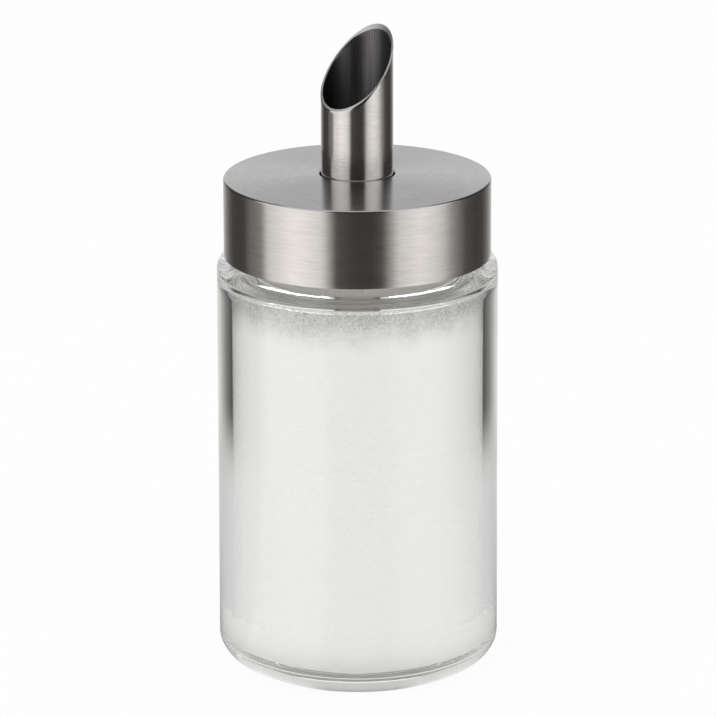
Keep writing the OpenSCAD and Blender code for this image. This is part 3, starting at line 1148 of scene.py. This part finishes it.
@dataclass(frozen=True)
class LightTent:
    """A graded wall of light and dark round the object, which only its gloss and its glass see.

    Each pair is (azimuth, level). Azimuth is counted in degrees from the lens's side, positive
    towards +X, and the level runs evenly from one pair to the next.
    """

    radius: float = 185 * MM
    floor_gap: float = 0.5 * MM
    height: float = 420 * MM
    columns: int = 96
    # What upright walls and the glass mirror, below the lid's top
    lower: tuple = (
        (-180, 1.0), (-166, 1.0), (-160, 0.75), (-150, 0.46), (-138, 0.2), (-126, 0.07),
        (-104, 0.07), (-98, 0.2), (-82, 0.25), (-77, 0.85), (-66, 1.0), (-54, 1.2), (-44, 1.2),
        (-28, 0.95), (-21, 0.4), (-17, 0.1), (0, 0.06), (12, 0.06), (20, 0.1), (28.5, 0.55),
        (32.5, 0.84), (50, 1.1), (60, 1.0), (70, 0.82), (82, 0.36), (98, 0.1), (112, 0.07),
        (126, 0.07), (138, 0.2), (150, 0.46), (160, 0.75), (166, 1.0),
    )
    # What the lid's top and the edges mirror, above it
    upper: tuple = (
        (-180, 0.72), (-150, 0.72), (-140, 0.05), (-92, 0.05), (-86, 0.9), (-60, 1.2), (-48, 1.2),
        (-28, 0.9), (-20, 0.02), (22, 0.02), (30, 0.9), (50, 1.2), (72, 1.1), (84, 0.5),
        (92, 0.05), (140, 0.05), (150, 0.72), (180, 0.72),
    )
    # Where two soft boxes stand in front, which only faultlessly smooth surfaces see
    boxes: tuple = ((-95, 0), (-87, 1), (-27, 1), (-21, 0), (24, 0), (30, 1), (82, 1), (92, 0))
    box_z: tuple = (215 * MM, 275 * MM)
    box_level: float = 30.0
    # Seen through the glass, the wall's foot and its front run over into the white table
    front: tuple = ((-75, 0), (-55, 1), (55, 1), (75, 0))
    foot: float = 26 * MM
    foot_level: float = 0.72
    # Heights over which lower goes over to upper, and warm light to cool
    change_z: tuple = (128 * MM, 145 * MM)
    warm: tuple = (1.0, 0.985, 0.965)
    cool: tuple = (0.95, 0.965, 1.0)
    # Heights over which the wall falls to a level of itself
    dim_z: tuple = (165 * MM, 225 * MM)
    dim_level: float = 0.8

    def levels(self) -> bpy.types.ShaderNodeTree:
        """Reads the four lists of levels at the point's azimuth.

        Returns:
            A group with outputs Lower, Upper, Boxes and Front.
        """
        stretches = {
            "Lower": self.lower, "Upper": self.upper, "Boxes": self.boxes, "Front": self.front
        }
        made, graph, _, result = group("Levels round the axis", {}, tuple(stretches))
        x, y, _ = graph.parts()
        azimuth = graph.math("ARCTAN2", x, graph.math("MULTIPLY", y, -1.0))
        share = graph.math("ADD", graph.math("DIVIDE", azimuth, 2 * math.pi), 0.5)
        for name, stops in stretches.items():
            grey = graph.ramp(share, [(place / 360 + 0.5, level) for place, level in stops])
            level = graph.add("ShaderNodeRGBToBW", None, in0=grey).outputs[0]
            graph.feed(result, **{name: level})
        return made

    def finish(self, levels: bpy.types.ShaderNodeTree) -> bpy.types.Material:
        """Makes the tent's material.

        Args:
            levels: the group that levels() made.

        Returns:
            A material that only gives light.
        """
        made = bpy.data.materials.new("light tent")
        made.use_nodes = True
        graph = Graph(made.node_tree)
        z = graph.parts()[2]
        level = graph.place_group(levels)
        path = graph.add("ShaderNodeLightPath").outputs
        change = graph.span(z, *self.change_z, eased=True)
        dim = graph.span(z, *self.dim_z, 1.0, self.dim_level, eased=True)
        wall = graph.math("MULTIPLY", graph.mix(change, level["Lower"], level["Upper"]), dim)
        foot = graph.span(z, 0.0, self.foot, 1.0, 0.0, eased=True)
        table = graph.math("MAXIMUM", foot, level["Front"])
        through = graph.math("MULTIPLY", table, path["Is Transmission Ray"])
        wall = graph.mix(through, wall, self.foot_level)
        over = graph.math("GREATER_THAN", z, self.box_z[0])
        under = graph.math("LESS_THAN", z, self.box_z[1])
        lit = graph.math("MULTIPLY", graph.math("MULTIPLY", over, under), level["Boxes"])
        lit = graph.math("MULTIPLY", lit, path["Is Singular Ray"])
        strength = graph.math("ADD", wall, graph.math("MULTIPLY", lit, self.box_level))
        tint = graph.mix_colours(change, (*self.warm, 1), (*self.cool, 1))
        glow = graph.add("ShaderNodeEmission", None, Color=tint, Strength=strength)
        graph.add("ShaderNodeOutputMaterial", None, Surface=glow.outputs[0])
        made.cycles.emission_sampling = "NONE"
        return made

    def build(self, levels: bpy.types.ShaderNodeTree) -> None:
        """Builds the tent as an open cylinder that faces inwards.

        Args:
            levels: the group that levels() made.
        """
        section = np.array([[self.radius, self.floor_gap], [self.radius, self.height]])
        angle = np.linspace(0, 2 * np.pi, self.columns, endpoint=False)
        r, a = np.meshgrid(section[:, 0], angle, indexing="ij")
        z = np.repeat(section[:, 1:], self.columns, 1)
        points = np.stack([r * np.cos(a), r * np.sin(a), z], -1).reshape(-1, 3)
        tent = make_object("light_tent", points, [grid_faces(2, self.columns, False)[:, ::-1]])
        tent.data.materials.append(self.finish(levels))
        tent.visible_camera = tent.visible_diffuse = tent.visible_shadow = False
        tent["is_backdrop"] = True


@dataclass(frozen=True)
class Studio:
    """A pale floor, a white surround, soft lamps and the light tent.

    Glow is the floor's share of light of its own. Uplight is that share for what scatters light,
    and under_glass is its level through the glass. Fill and sky are the surround's levels for what
    scatters light and for gloss and glass.
    """

    reach: float = 6.0
    drop: float = 0.02 * MM
    grey: float = 0.8
    glow: float = 0.9
    uplight: float = 0.7
    fill: float = 1.05
    sky: float = 0.6
    under_glass: float = 0.7
    lamps: tuple = (
        SoftLamp("soft_key", (-1.2, -1.0, 1.1), 4.2),
        SoftLamp("soft_fill", (1.3, -1.0, 0.8), 2.4),
    )

    def floor(self, levels: bpy.types.ShaderNodeTree) -> None:
        """A wide pale floor that reads as white and keeps the object's shadow.

        What mirrors the floor sees the tent's levels carried on.

        Args:
            levels: the tent's group of levels.
        """
        corner = np.array([[-1, -1, 0], [1, -1, 0], [1, 1, 0], [-1, 1, 0]]) * self.reach
        made = make_object("pale_floor", corner - [0, 0, self.drop], [np.array([[0, 1, 2, 3]])])
        material = bpy.data.materials.new("pale floor")
        material.use_nodes = True
        graph = Graph(material.node_tree)
        path = graph.add("ShaderNodeLightPath").outputs
        glass, gloss = path["Is Transmission Ray"], path["Is Glossy Ray"]
        mirrored = graph.math("MAXIMUM", graph.math("SUBTRACT", gloss, glass), 0.0)
        lost = graph.math("MULTIPLY", glass, 1 - self.under_glass)
        level = graph.place_group(levels)["Lower"]
        strength = graph.mix(mirrored, graph.math("SUBTRACT", 1.0, lost), level)
        matt = graph.add("ShaderNodeBsdfDiffuse", None, Color=(*(self.grey,) * 3, 1)).outputs[0]
        glow = graph.add("ShaderNodeEmission", None, Color=(1, 1, 1, 1), Strength=strength)
        less = graph.math("MULTIPLY", path["Is Diffuse Ray"], self.glow - self.uplight)
        share = graph.math("SUBTRACT", self.glow, less)
        mixed = graph.add("ShaderNodeMixShader", None, in0=share, in1=matt, in2=glow.outputs[0])
        graph.add("ShaderNodeOutputMaterial", None, Surface=mixed.outputs[0])
        material.cycles.emission_sampling = "NONE"
        made.data.materials.append(material)
        made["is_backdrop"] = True

    def surround(self) -> None:
        """The world: white to the lens, a soft sky to gloss and glass, and an even fill."""
        world = bpy.data.worlds.new("surround")
        bpy.context.scene.world = world
        world.use_nodes = True
        graph = Graph(world.node_tree)
        path = graph.add("ShaderNodeLightPath").outputs
        soft = graph.mix(path["Is Diffuse Ray"], self.sky, self.fill)
        strength = graph.math("MAXIMUM", soft, path["Is Camera Ray"])
        white = graph.add("ShaderNodeBackground", None, Color=(1, 1, 1, 1), Strength=strength)
        graph.add("ShaderNodeOutputWorld", None, Surface=white.outputs[0])

    def build(self) -> None:
        """Builds floor, surround, lamps and tent."""
        tent = LightTent()
        levels = tent.levels()
        self.floor(levels)
        self.surround()
        for lamp in self.lamps:
            lamp.build()
        tent.build(levels)


def settings() -> None:
    """Plain view settings, and enough bounces for light through glass."""
    scene = bpy.context.scene
    scene.view_settings.view_transform = "Standard"
    cycles = scene.cycles
    cycles.max_bounces = cycles.transmission_bounces = cycles.glossy_bounces = GLASS_BOUNCES
    cycles.transparent_max_bounces = CLEAR_BOUNCES
    cycles.sample_clamp_indirect = BRIGHTEST_BOUNCE


def corners() -> list:
    """The shown object's lowest and highest corner, as plain lists."""
    return [list(corner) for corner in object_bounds()]


def main() -> None:
    """Loads the frame, builds every piece round it, and the studio."""
    logging.basicConfig(level=logging.INFO, format="%(name)s: %(message)s")
    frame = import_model()
    settings()
    shared = Shared()

    spout_low, spout_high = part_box("spout_tube")
    spout = PouringSpout(spout_high.y, spout_low.z, spout_high.z)
    glass = ClearGlass().build()
    lid_steel = BrushedSteel("lid steel").build(shared)
    spout_steel = BrushedSteel(
        "spout steel",
        roughness=0.16,
        stretch=0.85,
        streaks=3.0,
        bore_r=spout.bore_r + 0.05 * MM,
        ground_r=spout.outer_r - 0.04 * MM,
    ).build(shared)
    inner_steel = BrushedSteel("inner steel", roughness=0.32, contrast=0.05).build(shared)
    plastic = MouldedPlastic("liner plastic", (0.82, 0.82, 0.79)).build(shared)
    rubber = MouldedPlastic("gasket rubber", (0.74, 0.73, 0.69), roughness=0.6).build(shared)

    jar_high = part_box("glass_jar")[1]
    jar = GlassJar(outer_r=jar_high.x, height=jar_high.z)
    jar.build(glass)
    fill = SugarFill(jar, tube_r=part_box("dosing_tube")[1].x)
    fill.build(WhiteSugar().build(shared, fill.top, fill.loose_and_shade_depth))
    lid_low, lid_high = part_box("lid_shell")
    SteelLid(lid_high.x, lid_low.z, lid_high.z, spout.outer_r).build(lid_steel)
    spout.build(spout_steel)
    liner_low, liner_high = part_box("lid_liner")
    LinerLugs(liner_high.x, liner_low.z).build(plastic)

    dressed = (
        (plastic, ("lid_liner", "dosing_funnel")),
        (rubber, ("lid_gasket",)),
        (inner_steel, ("spout_flange", "flap_seat", "flap", "flap_pin", "dosing_tube")),
        (glass, ("glass_jar",)),
        (lid_steel, ("lid_shell",)),
        (spout_steel, ("spout_tube",)),
    )
    for material, names in dressed:
        for name in names:
            node = frame["nodes"][name]
            node.data.materials.clear()
            node.data.materials.append(material)
            LOG.info("%s: solid dressed in %s", name, material.name)

    Studio().build()
    Lens().build()


if __name__ == "__main__":
    main()
